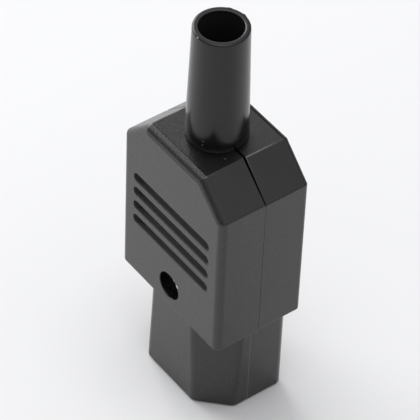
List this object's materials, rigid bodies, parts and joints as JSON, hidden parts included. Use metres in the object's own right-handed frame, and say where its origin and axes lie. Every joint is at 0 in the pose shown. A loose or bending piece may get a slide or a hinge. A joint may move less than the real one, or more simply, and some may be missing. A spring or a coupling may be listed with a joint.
{
  "type": "c13 power connector",
  "caption": "Rewireable appliance mains connector with a three-way female nose, a two-part grooved body with sloped shoulders and a soft tapered cord boot.",
  "frame": {"origin": "middle of the outer box at the level of the mating face, on the plane where the two shells part", "axes": "+Z from the mating face up to the cord's exit, -Y out of the front shell with the finger grooves and the housing screw, X across the wide faces"},
  "size_m": [0.0278, 0.018, 0.0792],
  "materials": {
    "shell_plastic": "fine spark-textured black nylon",
    "boot_pvc": "smooth soft black PVC with a dull gloss",
    "contact_brass": "stamped sheet, slightly dulled",
    "screw_steel": "bright zinc"
  },
  "bodies": {
    "root": {"base_shell": "shell_plastic", "front_cover": "shell_plastic", "cord_clamp": "shell_plastic", "strain_relief_boot": "boot_pvc", "line_contact": "contact_brass", "neutral_contact": "contact_brass", "earth_contact": "contact_brass", "threaded_insert": "contact_brass", "line_clamp_washer": "screw_steel", "neutral_clamp_washer": "screw_steel", "earth_clamp_washer": "screw_steel", "line_terminal_screw": "screw_steel", "neutral_terminal_screw": "screw_steel", "earth_terminal_screw": "screw_steel", "left_clamp_screw": "screw_steel", "right_clamp_screw": "screw_steel", "housing_screw": "screw_steel"}
  },
  "joints": []
}
